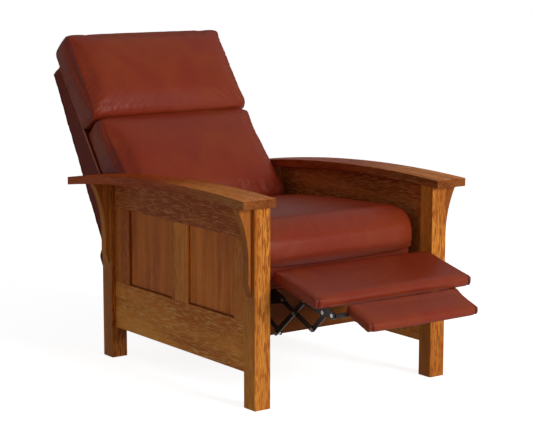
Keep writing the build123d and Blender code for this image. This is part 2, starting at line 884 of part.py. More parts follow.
# Main pad, with its board let into the underside
with BuildPart() as footrest_board:
    with BuildSketch(pad_plane(pad_half_width - board_margin)):
        with Locations((pad_length / 2, board_thickness / 2 - pad_thickness)):
            Rectangle(pad_length - 2 * board_margin, board_thickness)
    extrude(amount=2 * (pad_half_width - board_margin))
save(footrest_board, "footrest_board")
main_block = pad_block(pad_plane, pad_half_width, 0, pad_length, 0, pad_thickness)
with BuildPart() as footrest_pad:
    add(main_block.part)
    with BuildSketch(pad_plane(pad_half_width - board_margin)):
        with Locations((pad_length / 2, (board_thickness - trim_overrun) / 2 - pad_thickness)):
            Rectangle(pad_length - 2 * board_margin, board_thickness + trim_overrun)
    extrude(amount=2 * (pad_half_width - board_margin), mode=Mode.SUBTRACT)
save(footrest_pad, "footrest_pad")

# Footrest bracket: a web in the outermost layer, with a flange under the board
pad_rear_place = pad_place(pad_rear_pivot)
pad_front_place = pad_place(pad_front_pivot)
flip_place = pad_place(flip_pivot)
web_outline = (
    (bracket_rear, -pad_thickness),
    (bracket_front, -pad_thickness),
    (flip_place[0], flip_place[1] + plate_lobe_radius),
    (flip_place[0], flip_place[1] - plate_lobe_radius),
    (pad_front_place[0], pad_front_place[1] - plate_lobe_radius),
    (pad_rear_place[0], pad_rear_place[1] - plate_lobe_radius),
    (pad_rear_place[0] - plate_lobe_radius, pad_rear_place[1]),
)
with BuildPart() as footrest_bracket:
    with BuildSketch(pad_plane(bracket_outer_x)):
        with BuildLine():
            Polyline(*web_outline, close=True)
        make_face()
        with Locations(pad_rear_place, pad_front_place, flip_place):
            Circle(plate_lobe_radius)
        with Locations(pad_rear_place, pad_front_place, flip_place):
            Circle(pivot_hole, mode=Mode.SUBTRACT)
    extrude(amount=link_gauge)
    with BuildSketch(pad_plane(bracket_x + bracket_flange)):
        with Locations(((bracket_rear + bracket_front) / 2, -pad_thickness - link_gauge / 2)):
            Rectangle(bracket_front - bracket_rear, link_gauge)
    extrude(amount=bracket_flange)
save_sides(footrest_bracket, "footrest_bracket")

# Flip pad on its carrier: a strap across the chair, an end plate on each pivot and two arms
save(pad_block(flip_plane, flip_half_width, flip_start, flip_length, flip_top, flip_thickness), "flip_pad")
carrier_top = flip_top - flip_thickness - flip_seat_play
strap_end = flip_strap_start + flip_strap_width
end_plate_outline = (
    (0, plate_lobe_radius),
    (flip_strap_start, carrier_top),
    (strap_end, carrier_top),
    (strap_end, carrier_top - link_gauge),
    (0, -plate_lobe_radius),
)
with BuildPart() as flip_carrier:
    for face_x in (outer_link_outer_x, -outer_link_x):
        with BuildSketch(flip_plane(face_x)):
            with BuildLine():
                Polyline(*end_plate_outline, close=True)
            make_face()
            Circle(plate_lobe_radius)
            Circle(pivot_hole, mode=Mode.SUBTRACT)
        extrude(amount=link_gauge)
    with BuildSketch(flip_plane(outer_link_outer_x)):
        with Locations((flip_strap_start + flip_strap_width / 2, carrier_top - link_gauge / 2)):
            Rectangle(flip_strap_width, link_gauge)
    extrude(amount=2 * outer_link_outer_x)
    for face_x in (flip_arm_half_span, flip_arm_width - flip_arm_half_span):
        with BuildSketch(flip_plane(face_x)):
            with Locations((flip_strap_start + flip_arm_length / 2, carrier_top - link_gauge / 2)):
                Rectangle(flip_arm_length, link_gauge)
        extrude(amount=flip_arm_width)
save(flip_carrier, "flip_carrier")
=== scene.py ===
import json
import math

import bmesh
import bpy
import numpy as np
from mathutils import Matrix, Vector

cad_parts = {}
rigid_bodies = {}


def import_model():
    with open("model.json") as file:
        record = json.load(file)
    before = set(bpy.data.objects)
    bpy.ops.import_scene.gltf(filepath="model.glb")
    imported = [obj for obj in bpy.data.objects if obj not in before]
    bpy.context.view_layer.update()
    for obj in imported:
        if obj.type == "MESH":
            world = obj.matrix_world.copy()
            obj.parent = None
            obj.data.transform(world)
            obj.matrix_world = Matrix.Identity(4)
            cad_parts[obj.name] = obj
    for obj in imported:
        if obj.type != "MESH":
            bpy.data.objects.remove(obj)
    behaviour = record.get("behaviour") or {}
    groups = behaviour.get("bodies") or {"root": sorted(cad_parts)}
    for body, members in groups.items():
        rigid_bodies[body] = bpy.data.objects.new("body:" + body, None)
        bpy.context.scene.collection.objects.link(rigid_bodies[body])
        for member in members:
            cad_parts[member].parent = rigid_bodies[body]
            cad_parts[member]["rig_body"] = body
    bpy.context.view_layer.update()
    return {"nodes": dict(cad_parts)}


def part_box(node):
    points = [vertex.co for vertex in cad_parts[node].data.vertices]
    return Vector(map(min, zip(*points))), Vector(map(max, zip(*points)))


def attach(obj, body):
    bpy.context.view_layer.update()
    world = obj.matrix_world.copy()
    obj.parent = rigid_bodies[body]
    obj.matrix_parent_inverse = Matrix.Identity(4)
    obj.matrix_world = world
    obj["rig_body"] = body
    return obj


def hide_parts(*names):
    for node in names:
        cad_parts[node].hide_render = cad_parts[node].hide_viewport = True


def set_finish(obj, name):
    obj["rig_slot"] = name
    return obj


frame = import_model()
nodes = frame["nodes"]
scene = bpy.context.scene
scene.view_settings.view_transform = "Standard"

# Legs: four square posts of quarter-sawn white oak, stained a warm brown and lacquered.
# Each is sawn so that bold ray flecks show in front and hardly on its sides, and its corners are eased.
# They run from the floor to the underside of the arms, and the rails meet them in between.
SIDES = ("left", "right")
GRAIN_TURNS = {"z": (0, 0, 0), "y": (math.pi / 2, 0, 0), "x": (0, math.pi / 2, 0)}
GRAIN_AXES = {"z": (0, 0, 1), "y": (0, 1, 0), "x": (1, 0, 0)}
OAK_DARK = (0.40, 0.115, 0.016)
OAK_LIGHT = (0.76, 0.29, 0.045)
OAK_FLECK = (0.95, 0.48, 0.12)
OAK_FLECK_FACING = (0.27, 0.055, 0.007)
LEG_SIDE_FLECK = (0.46, 0.15, 0.022)
END_GRAIN_STAIN = (0.58, 0.50, 0.50)
OAK_RELIEF = 0.0004
OAK_SHINE = 0.06
EDGE_ON_SHARE = 0.05
BOLD_FLECKS = 1.35
LOG_STEP = (0.37, 0.61, 1.13)
COLOUR_SOCKET = ("NodeSocketColor", (0.5, 0.5, 0.5, 1))
FINISH_SOCKETS = {"Color": "NodeSocketColor", "Roughness": "NodeSocketFloat", "Height": "NodeSocketFloat"}


def add_node(tree, kind, inputs=(), **settings):
    """A node with its settings, and its inputs set to values or linked from other nodes' outputs."""
    made = tree.nodes.new(kind)
    for name, value in settings.items():
        setattr(made, name, value)
    for name, value in dict(inputs).items():
        if isinstance(value, bpy.types.NodeSocket):
            tree.links.new(value, made.inputs[name])
        else:
            made.inputs[name].default_value = value
    return made


def new_group(name, inputs, outputs, kind="ShaderNodeTree"):
    """An empty node group and its two ends, with named sockets given as {name: (socket type, default)}."""
    tree = bpy.data.node_groups.new(name, kind)
    for label, (socket, default) in inputs.items():
        made = tree.interface.new_socket(label, in_out="INPUT", socket_type=socket)
        if default is not None:
            made.default_value = default
    for label, socket in outputs.items():
        tree.interface.new_socket(label, in_out="OUTPUT", socket_type=socket)
    return tree, add_node(tree, "NodeGroupInput").outputs, add_node(tree, "NodeGroupOutput")


def stretched(tree, place, across, along):
    """The grain's own coordinates, stretched along the grain, which runs along Z."""
    scale = (across, across, along)
    return add_node(tree, "ShaderNodeMapping", {"Vector": place, "Scale": scale}).outputs["Vector"]


def noise(tree, place, scale, detail=2, distortion=0.0):
    """A noise value from 0 to 1 at a place."""
    inputs = {"Vector": place, "Scale": scale, "Detail": detail, "Distortion": distortion}
    return add_node(tree, "ShaderNodeTexNoise", inputs).outputs["Fac"]


def spread(tree, value, low, high, to_low=0.0, to_high=1.0):
    """A value read from one span to another, with soft ends."""
    span = {"Value": value, "From Min": low, "From Max": high, "To Min": to_low, "To Max": to_high}
    return add_node(tree, "ShaderNodeMapRange", span, interpolation_type="SMOOTHSTEP").outputs["Result"]


def sums(tree, operation, *values):
    """Arithmetic on one to three values."""
    return add_node(tree, "ShaderNodeMath", dict(enumerate(values)), operation=operation).outputs["Value"]


def pointing(tree, direction, axis):
    """How far a direction points along an axis, from -1 to 1."""
    made = add_node(tree, "ShaderNodeVectorMath", {0: direction, 1: axis}, operation="DOT_PRODUCT")
    return made.outputs["Value"]


def blended(tree, share, first, second, blend_type="MIX"):
    """Two colours mixed by a share."""
    mixer = add_node(tree, "ShaderNodeMix", data_type="RGBA", blend_type=blend_type)
    for socket, value in zip((mixer.inputs[0], mixer.inputs[6], mixer.inputs[7]), (share, first, second)):
        if isinstance(value, bpy.types.NodeSocket):
            tree.links.new(value, socket)
        else:
            socket.default_value = value if isinstance(value, float) else (*value[:3], 1)
    return mixer.outputs[2]


def oak_figure_group():
    """Colour, roughness and height of quarter-sawn oak, with the grain along Z of the vector given."""
    tree, given, result = new_group(
        "quarter_sawn_oak",
        {
            "Vector": ("NodeSocketVector", None),
            "Grain Axis": ("NodeSocketVector", (0, 0, 1)),
            "Dark": COLOUR_SOCKET,
            "Light": COLOUR_SOCKET,
            "Fleck": COLOUR_SOCKET,
            "Fleck Facing Front": COLOUR_SOCKET,
            "Fleck Share": ("NodeSocketFloat", 1.0),
        },
        FINISH_SOCKETS,
    )
    straight = given["Vector"]
    waver = noise(tree, stretched(tree, straight, 1, 0.3), 9, 2)
    waver = sums(tree, "MULTIPLY_ADD", waver, 0.02, -0.01)
    shift = add_node(tree, "ShaderNodeCombineXYZ", {"X": waver, "Y": waver}).outputs["Vector"]
    shifted = add_node(tree, "ShaderNodeVectorMath", {0: straight, 1: shift}, operation="ADD")
    wavy = shifted.outputs["Vector"]

    def figure(along, scale, detail, distortion=0.0):
        """Noise drawn out along the wavy grain."""
        return noise(tree, stretched(tree, wavy, 1, along), scale, detail, distortion)

    bands = figure(0.06, 30, 2)
    broad = figure(0.16, 9, 1)
    clouds = figure(0.35, 7, 3)
    streaks = figure(0.03, 330, 3)
    pores = spread(tree, figure(0.045, 1100, 2), 0.56, 0.70)
    ribbons = spread(tree, figure(0.12, 235, 1, 0.35), 0.49, 0.60)
    clusters = spread(tree, figure(0.4, 16, 2), 0.36, 0.58, 0.6, 1.0)
    normal = add_node(tree, "ShaderNodeNewGeometry").outputs["Normal"]
    end_grain = spread(tree, sums(tree, "ABSOLUTE", pointing(tree, normal, given["Grain Axis"])), 0.6, 0.8)
    side_grain = sums(tree, "SUBTRACT", 1.0, end_grain)
    flecks = sums(tree, "MULTIPLY", sums(tree, "MULTIPLY", ribbons, clusters), given["Fleck Share"])
    flecks = sums(tree, "MULTIPLY", flecks, side_grain)
    facing = spread(tree, pointing(tree, normal, (0, -1, 0)), 0.5, 0.9)
    fleck_colour = blended(tree, facing, given["Fleck"], given["Fleck Facing Front"])
    mix = sums(tree, "MULTIPLY_ADD", streaks, 0.35, sums(tree, "MULTIPLY", bands, 0.55))
    mix = sums(tree, "MULTIPLY_ADD", broad, 0.65, mix)
    tone = spread(tree, sums(tree, "MULTIPLY_ADD", clouds, 0.35, mix), 0.74, 1.15)
    wood = blended(tree, tone, given["Dark"], given["Light"])
    wood = blended(tree, sums(tree, "MULTIPLY", pores, 0.45), wood, given["Dark"])
    wood = blended(tree, sums(tree, "MULTIPLY", flecks, 0.62), wood, fleck_colour)
    rings = spread(tree, figure(1, 260, 2), 0.42, 0.58, 0.35, 1.0)
    wood = blended(tree, sums(tree, "MULTIPLY", end_grain, rings), wood, END_GRAIN_STAIN, "MULTIPLY")
    tree.links.new(wood, result.inputs["Color"])
    rough = sums(tree, "MULTIPLY_ADD", pores, 0.18, sums(tree, "MULTIPLY_ADD", flecks, -0.08, 0.40))
    tree.links.new(rough, result.inputs["Roughness"])
    height = sums(tree, "MULTIPLY_ADD", pores, -0.6, sums(tree, "MULTIPLY_ADD", streaks, 0.4, flecks))
    tree.links.new(height, result.inputs["Height"])
    return tree


OAK_FIGURE = oak_figure_group()


def new_material(name):
    """An empty node material with its output and a shader, and the place to read patterns from."""
    material = bpy.data.materials.new(name)
    material.use_nodes = True
    tree = material.node_tree
    tree.nodes.clear()
    shader = add_node(tree, "ShaderNodeBsdfPrincipled")
    add_node(tree, "ShaderNodeOutputMaterial", {"Surface": shader.outputs["BSDF"]})
    place = add_node(tree, "ShaderNodeTexCoord").outputs["Object"]
    return material, tree, shader, place


def finish_surface(tree, shader, pattern, bump_height, bump_strength=1.0):
    """Feed a pattern group's colour, roughness and height to the shader."""
    tree.links.new(pattern.outputs["Color"], shader.inputs["Base Color"])
    tree.links.new(pattern.outputs["Roughness"], shader.inputs["Roughness"])
    bump = {"Height": pattern.outputs["Height"], "Distance": bump_height, "Strength": bump_strength}
    tree.links.new(add_node(tree, "ShaderNodeBump", bump).outputs["Normal"], shader.inputs["Normal"])


def gloss_by_angle(tree, shader, level):
    """Gloss that fades where the surface is seen edge on, as fine grain and pebbling scatter it there."""
    edge_on = add_node(tree, "ShaderNodeLayerWeight", {"Blend": 0.5}).outputs["Facing"]
    faded = spread(tree, edge_on, 0.30, 0.72, level, level * EDGE_ON_SHARE)
    tree.links.new(faded, shader.inputs["Specular IOR Level"])


def scaled(colour, shade):
    """A colour made lighter or darker, as four numbers."""
    return (*(min(1.0, part * shade) for part in colour), 1)


def oak_board(name, grain, number, shade=1.0, fleck=1.0, ruddy=1.0):
    """The finish of one board: its grain's direction, its own place in the log, and its shade."""
    material, tree, shader, place = new_material(name)
    offset = tuple(number * step for step in LOG_STEP)
    mapping = {"Vector": place, "Location": offset, "Rotation": GRAIN_TURNS[grain]}
    turned = add_node(tree, "ShaderNodeMapping", mapping).outputs["Vector"]
    red = Vector((1.0, 1.0 / ruddy, 1.0))
    colours = {
        "Dark": scaled(Vector(OAK_DARK) * red, shade),
        "Light": scaled(Vector(OAK_LIGHT) * red, shade),
        "Fleck": scaled(Vector(OAK_FLECK) * red, shade),
        "Fleck Facing Front": scaled(OAK_FLECK_FACING, shade),
    }
    group = add_node(tree, "ShaderNodeGroup", node_tree=OAK_FIGURE)
    tree.links.new(turned, group.inputs["Vector"])
    group.inputs["Grain Axis"].default_value = GRAIN_AXES[grain]
    group.inputs["Fleck Share"].default_value = fleck
    for label, colour in colours.items():
        group.inputs[label].default_value = colour
    finish_surface(tree, shader, group, OAK_RELIEF)
    gloss_by_angle(tree, shader, OAK_SHINE)
    return material


def board_parts(material):
    """What a board's finish is made of: its tree, its figure, its shader and its place."""
    tree = material.node_tree
    kinds = ("ShaderNodeGroup", "ShaderNodeBsdfPrincipled", "ShaderNodeTexCoord")
    figure, shader, place = (next(n for n in tree.nodes if n.bl_idname == kind) for kind in kinds)
    return tree, figure, shader, place.outputs["Object"]


def dress(name, material):
    """Give a carried-over piece of the frame its finish."""
    nodes[name].data.materials.clear()
    nodes[name].data.materials.append(material)


def leg_oak(name, number, shade, ruddy):
    """A leg's finish, with flecks that stand out only on its front."""
    material = oak_board(name, "z", number, shade, BOLD_FLECKS, ruddy)
    _, figure, _, _ = board_parts(material)
    figure.inputs["Fleck"].default_value = scaled(LEG_SIDE_FLECK, shade)
    return material


for number, side in enumerate(SIDES):
    dress(f"front_leg_{side}", leg_oak(f"front_leg_oak_{side}", number + 3, 1.15, 1.0))
    dress(f"rear_leg_{side}", leg_oak(f"rear_leg_oak_{side}", number + 5, 0.94, 1.12))

# Side frames: rails and stiles of the same oak, joined flush, with thin solid panels in their grooves.
# The rails' grain runs from front to back and shows bold wavy flecks; stiles and panels stand upright.
# Every edge is eased with sandpaper before the stain, so a fine line shows at each joint.
EASING = 0.0009
SHARP_CORNER = math.radians(30)
FLAT_CORNER = math.radians(0.5)
SAME_PLACE = 1e-5


def merged_copy(name, source, flat=True):
    """A new piece with a frame solid's shape, its loose triangles joined into whole faces."""
    shape = bmesh.new()
    shape.from_mesh(nodes[source].data)
    bmesh.ops.remove_doubles(shape, verts=shape.verts, dist=SAME_PLACE)
    if flat:
        bmesh.ops.dissolve_limit(shape, angle_limit=FLAT_CORNER, verts=shape.verts, edges=shape.edges)
    bmesh.ops.recalc_face_normals(shape, faces=shape.faces)
    mesh = bpy.data.meshes.new(name)
    shape.to_mesh(mesh)
    shape.free()
    piece = bpy.data.objects.new(name, mesh)
    scene.collection.objects.link(piece)
    return piece


def work_in(piece):
    """Turn the piece's modifiers into plain mesh."""
    graph = bpy.context.evaluated_depsgraph_get()
    mesh = bpy.data.meshes.new_from_object(piece.evaluated_get(graph), depsgraph=graph)
    piece.modifiers.clear()
    piece.data = mesh


def stand_for(piece, source, material):
    """Put a finished piece in place of a frame solid: it rides on that solid's body."""
    piece.data.materials.clear()
    piece.data.materials.append(material)
    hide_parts(source)
    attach(piece, nodes[source]["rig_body"])


def eased_board(source, material, easing=EASING):
    """A board with its sharp edges rounded over by sandpaper."""
    piece = merged_copy(f"eased_{source}", source)
    rounding = piece.modifiers.new("easing", "BEVEL")
    rounding.width = easing
    rounding.segments = 2
    rounding.limit_method = "ANGLE"
    rounding.angle_limit = SHARP_CORNER
    rounding.harden_normals = True
    work_in(piece)
    stand_for(piece, source, material)
    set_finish(piece, "oak")


# Each board's grain, shade, share of flecks and redness
BOARDS = (
    ("top_rail", "y", 0.84, 0.9, 1.32),
    ("bottom_rail", "y", 1.46, 0.85, 1.12),
    ("front_stile", "z", 1.08, 0.5, 1.15),
    ("centre_stile", "z", 1.18, 0.45, 1.12),
    ("rear_stile", "z", 0.95, 0.5, 1.25),
    ("front_panel", "z", 1.12, 0.2, 1.25),
    ("rear_panel", "z", 0.98, 0.2, 1.32),
    ("front_corbel", "z", 0.72, 0.3, 1.15),
    ("rear_corbel", "z", 0.85, 0.3, 1.1),
)
PANEL_TONGUE = 0.008
PAINTED_PANEL_SHADE = (0.075, 0.022, 0.006)
FOOT_SHADE = 0.9
FOOT_SHADE_WIDTH = 0.008
SIDE_SHADE = 0.7
SIDE_SHADE_WIDTH = 0.0056


def shade_panel_corners(material, source):
    """Painted shade where a panel meets its rails and stiles, deepest along its foot."""
    low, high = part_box(source)
    tree, figure, shader, place = board_parts(material)
    at = add_node(tree, "ShaderNodeSeparateXYZ", {"Vector": place}).outputs
    from_foot = sums(tree, "SUBTRACT", at["Z"], low.z + PANEL_TONGUE)
    from_rear = sums(tree, "SUBTRACT", high.y - PANEL_TONGUE, at["Y"])
    from_front = sums(tree, "SUBTRACT", at["Y"], low.y + PANEL_TONGUE)
    from_side = sums(tree, "MINIMUM", from_rear, from_front)
    foot = spread(tree, from_foot, 0.0, FOOT_SHADE_WIDTH, FOOT_SHADE, 0.0)
    sides = spread(tree, from_side, 0.0, SIDE_SHADE_WIDTH, SIDE_SHADE, 0.0)
    # Painted shade: darker along the panel's foot and along its two upright edges.
    share = sums(tree, "MAXIMUM", foot, sides)
    tree.links.new(blended(tree, share, figure.outputs["Color"], PAINTED_PANEL_SHADE), shader.inputs["Base Color"])


for number, (board, grain, shade, fleck, ruddy) in enumerate(BOARDS):
    for side in SIDES:
        label = f"{board}_{side}"
        finish = oak_board(f"{label}_oak", grain, number * 2 + SIDES.index(side), shade, fleck, ruddy)
        if board.endswith("panel"):
            shade_panel_corners(finish, label)
        eased_board(label, finish)

# Bow arms: two long boards, bowed in their length, that cap the legs and rails on both sides.
# They are the widest boards of the chair, with straight grain on top and end grain at the tips.
# Their corners are rounded more than the other boards', where hands rest.
ARM_EASING = 0.0035
REAR_SHADE_TINT = (0.78, 0.50, 0.48)
END_TINT = (0.74, 0.86, 0.88)
FRONT_TOP_LIGHT_TINT = (1.42, 1.68, 1.62)
LIT_AHEAD_OF_Y = -0.38
SHADED_BEHIND_Y = 0.10
LIGHT_EDGE_WANDER = 0.16


def arm_with_painted_light(name, number):
    """An arm's finish with painted light: painted shade towards the rear, and a painted highlight on top in
    front.
    """
    material = oak_board(name, "y", number, 0.88, 0.6, 1.34)
    tree, figure, shader, place = board_parts(material)
    along = add_node(tree, "ShaderNodeSeparateXYZ", {"Vector": place}).outputs["Y"]
    patches = noise(tree, stretched(tree, place, 3, 1), 8)
    uneven = sums(tree, "MULTIPLY_ADD", patches, LIGHT_EDGE_WANDER, along)
    front = sums(tree, "SUBTRACT", 1.0, spread(tree, uneven, LIT_AHEAD_OF_Y, SHADED_BEHIND_Y))
    normal = add_node(tree, "ShaderNodeNewGeometry").outputs["Normal"]
    up = spread(tree, add_node(tree, "ShaderNodeSeparateXYZ", {"Vector": normal}).outputs["Z"], 0.5, 0.9)
    # Painted light: the rear is shaded darker, and the top in front is lit lighter.
    tint = blended(tree, front, REAR_SHADE_TINT, END_TINT)
    tint = blended(tree, sums(tree, "MULTIPLY", front, up), tint, FRONT_TOP_LIGHT_TINT)
    tinted = blended(tree, 1.0, figure.outputs["Color"], tint, "MULTIPLY")
    tree.links.new(tinted, shader.inputs["Base Color"])
    return material


for number, side in enumerate(SIDES):
    eased_board(f"bow_arm_{side}", arm_with_painted_light(f"bow_arm_oak_{side}", number + 31), ARM_EASING)

# Cross rails: two boards between the sides, coloured dark as painted shade, since the footrest and seat
# hide them.
# The front one closes the view behind the links when the footrest is out.
dress("front_cross_rail", oak_board("front_cross_rail_painted_shade", "x", 41, 0.38, 0.1, 1.25))
dress("rear_cross_rail", oak_board("rear_cross_rail_painted_shade", "x", 42, 0.45, 0.3))

# Glide tracks and mechanism: pressed steel with a baked black finish, rubbed bright in places.
# The tracks are screwed to the bottom rails; plates and links are flat bars turning on shouldered rivets.
BLACK = (0.012, 0.011, 0.012)
RUBBED = (0.10, 0.095, 0.09)
STEEL_RELIEF = 0.00005


def metal_wear_group():
    """A hard surface, painted or plated, with faint mottling, scuffs and a fine texture."""
    tree, given, result = new_group(
        "worn_steel",
        {
            "Vector": ("NodeSocketVector", None),
            "Finish": COLOUR_SOCKET,
            "Scuffed": COLOUR_SOCKET,
            "Scuff Share": ("NodeSocketFloat", 0.3),
            "Gloss": ("NodeSocketFloat", 0.35),
        },
        FINISH_SOCKETS,
    )
    place = given["Vector"]
    scuffs = spread(tree, noise(tree, place, 60, 5), 0.60, 0.72)
    mottle = noise(tree, place, 25, 3)
    fine = noise(tree, place, 1500, 2)
    share = sums(tree, "MULTIPLY", scuffs, given["Scuff Share"])
    tree.links.new(blended(tree, share, given["Finish"], given["Scuffed"]), result.inputs["Color"])
    rough = sums(tree, "MULTIPLY_ADD", mottle, 0.2, given["Gloss"])
    tree.links.new(rough, result.inputs["Roughness"])
    tree.links.new(sums(tree, "MULTIPLY_ADD", fine, 0.5, scuffs), result.inputs["Height"])
    return tree


STEEL_WEAR = metal_wear_group()


def worn(name, finish, scuffed, scuff_share, gloss, metallic):
    """A worn finish: paint, nylon or thread when metallic is low, bright steel when it is high."""
    material, tree, shader, place = new_material(name)
    group = add_node(tree, "ShaderNodeGroup", node_tree=STEEL_WEAR)
    tree.links.new(place, group.inputs["Vector"])
    group.inputs["Finish"].default_value = (*finish, 1)
    group.inputs["Scuffed"].default_value = (*scuffed, 1)
    group.inputs["Scuff Share"].default_value = scuff_share
    group.inputs["Gloss"].default_value = gloss
    finish_surface(tree, shader, group, STEEL_RELIEF)
    shader.inputs["Metallic"].default_value = metallic
    return material


BLACK_STEEL = worn("baked_black_steel", BLACK, RUBBED, 0.35, 0.30, 0.35)
BRIGHT_STEEL = worn("bright_steel", (0.42, 0.42, 0.42), (0.2, 0.2, 0.2), 0.5, 0.22, 1.0)
SPRING_STEEL = worn("oiled_spring_steel", (0.09, 0.085, 0.08), (0.2, 0.17, 0.14), 0.4, 0.35, 0.8)
NYLON = worn("cream_nylon", (0.55, 0.52, 0.44), (0.4, 0.37, 0.3), 0.4, 0.35, 0.0)
for name in sorted(nodes):
    if name.startswith(("base_track", "seat_plate", "front_link", "outer_link", "inner_link", "rear_link")):
        dress(name, BLACK_STEEL)
    if name.startswith(("footrest_bracket", "flip_carrier", "back_brackets")):
        dress(name, BLACK_STEEL)
    if name.endswith("_rivets"):
        dress(name, BRIGHT_STEEL)
dress("seat_slides", NYLON)
dress("seat_springs", SPRING_STEEL)

# Screws: low pan-head steel screws, in straight rows. Five hold each track to its bottom rail.
# The footrest's brackets are held to its board by the same kind of screw.
SCREW_RADIUS = 0.0045
SCREW_HEIGHT = 0.0022
SCREW_TOP_SHARE = 0.72
TRACK_SCREW_COUNT = 5
TRACK_STEEL = 0.003
SCREW_FROM_END = 0.03
SCREW_FROM_FOOT = 0.03


def end_tree(tree, shape, given, result):
    """Turn a tree's shape into real mesh, give it its material and put it out."""
    real = add_node(tree, "GeometryNodeRealizeInstances", {"Geometry": shape}).outputs["Geometry"]
    finish = {"Geometry": real, "Material": given["Material"]}
    painted = add_node(tree, "GeometryNodeSetMaterial", finish).outputs["Geometry"]
    tree.links.new(painted, result.inputs["Geometry"])


def screw_row_tree():
    """A row of screw heads along a line, each a low turned dome."""
    vector = ("NodeSocketVector", (0, 0, 0))
    tree, given, result = new_group(
        "screw_row",
        {
            "Start": vector,
            "Step": vector,
            "Turn": vector,
            "Count": ("NodeSocketInt", 4),
            "Radius": ("NodeSocketFloat", SCREW_RADIUS),
            "Height": ("NodeSocketFloat", SCREW_HEIGHT),
            "Material": ("NodeSocketMaterial", None),
        },
        {"Geometry": "NodeSocketGeometry"},
        "GeometryNodeTree",
    )
    line = {"Count": given["Count"], "Start Location": given["Start"], "Offset": given["Step"]}
    points = add_node(tree, "GeometryNodeMeshLine", line, mode="OFFSET").outputs["Mesh"]
    dome = {"Vertices": 20, "Side Segments": 3, "Radius Bottom": given["Radius"], "Depth": given["Height"]}
    dome["Radius Top"] = sums(tree, "MULTIPLY", given["Radius"], SCREW_TOP_SHARE)
    head = add_node(tree, "GeometryNodeMeshCone", dome).outputs["Mesh"]
    rows = {"Points": points, "Instance": head, "Rotation": given["Turn"]}
    placed = add_node(tree, "GeometryNodeInstanceOnPoints", rows).outputs["Instances"]
    end_tree(tree, placed, given, result)
    return tree


SCREW_ROW = screw_row_tree()


def grow(name, tree, body, slot, material, path=(), **values):
    """Run a geometry tree with named inputs, keep what it makes as plain mesh, and let it ride."""
    piece = bpy.data.objects.new(name, bpy.data.meshes.new(name))
    piece.data.from_pydata(path, [(i, i + 1) for i in range(len(path) - 1)], [])
    scene.collection.objects.link(piece)
    modifier = piece.modifiers.new("maker", "NODES")
    modifier.node_group = tree
    inputs = [item for item in tree.interface.items_tree if item.in_out == "INPUT"]
    sockets = {item.name: item.identifier for item in inputs}
    for label, value in {**values, "Material": material}.items():
        modifier[sockets[label]] = value
    work_in(piece)
    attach(piece, body)
    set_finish(piece, slot)
    return piece


def join_pieces(name, pieces):
    """Several plain meshes made one piece."""
    shape = bmesh.new()
    for piece in pieces:
        shape.from_mesh(piece.data)
    mesh = bpy.data.meshes.new(name)
    shape.to_mesh(mesh)
    shape.free()
    for material in pieces[0].data.materials:
        mesh.materials.append(material)
    body = pieces[0]["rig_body"]
    slot_name = pieces[0].get("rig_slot")
    for piece in pieces:
        bpy.data.objects.remove(piece)
    joined = bpy.data.objects.new(name, mesh)
    scene.collection.objects.link(joined)
    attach(joined, body)
    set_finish(joined, slot_name)


track_screws = []
for side, sign in (("left", 1), ("right", -1)):
    low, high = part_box(f"base_track_{side}")
    outer_x = high.x if sign > 0 else low.x
    start = (outer_x - sign * TRACK_STEEL, low.y + SCREW_FROM_END, low.z + SCREW_FROM_FOOT)
    step = (0, (high.y - low.y - 2 * SCREW_FROM_END) / (TRACK_SCREW_COUNT - 1), 0)
    turn = (0, -sign * math.pi / 2, 0)
    values = {"Start": start, "Step": step, "Turn": turn, "Count": TRACK_SCREW_COUNT}
    name = f"track_screws_{side}"
    track_screws.append(grow(name, SCREW_ROW, "frame", "bright_steel", BRIGHT_STEEL, **values))
join_pieces("track_screws", track_screws)

# Seat frame: four rails of pale hardwood, with sinuous springs across from front to rear.
# The front rail is wrapped in leather over thin wadding, coloured darker as painted shade. The springs'
# ends lie in the rails.
PALE_DARK = (0.42, 0.29, 0.16)
PALE_LIGHT = (0.62, 0.47, 0.29)


def plain_board(name, grain, number):
    """Unstained inner wood, with straight quiet grain."""
    material = oak_board(name, grain, number, 1.0, 0.0)
    _, figure, _, _ = board_parts(material)
    figure.inputs["Dark"].default_value = (*PALE_DARK, 1)
    figure.inputs["Light"].default_value = (*PALE_LIGHT, 1)
    return material


SEAT_RAILS = (("seat_side_rail_left", "y"), ("seat_side_rail_right", "y"), ("seat_rear_rail", "x"))
for number, (name, grain) in enumerate(SEAT_RAILS):
    dress(name, plain_board(f"{name}_wood", grain, number + 51))

# Leather covers: one aniline-dyed hide, red brown, with a soft gloss, used for every cushion and pad.
# Painted shade darkens its folds and seams; it is mottled by the dye, and finely pebbled.
# The covers of the seat's front rail and of the back's frame are the same hide, coloured darker as painted
# shade.
HIDE = (0.255, 0.030, 0.011)
HIDE_WARM = (0.275, 0.042, 0.013)
HIDE_DEEP_AND_SHADE = (0.060, 0.006, 0.003)
SHADOW_HIDE = (0.150, 0.018, 0.008)
SHADOW_HIDE_WARM = (0.180, 0.025, 0.010)
HIDE_RELIEF = 0.00035
HIDE_RELIEF_SHARE = 0.8
COVER_VOXEL = 0.005
WRINKLE = 0.0008


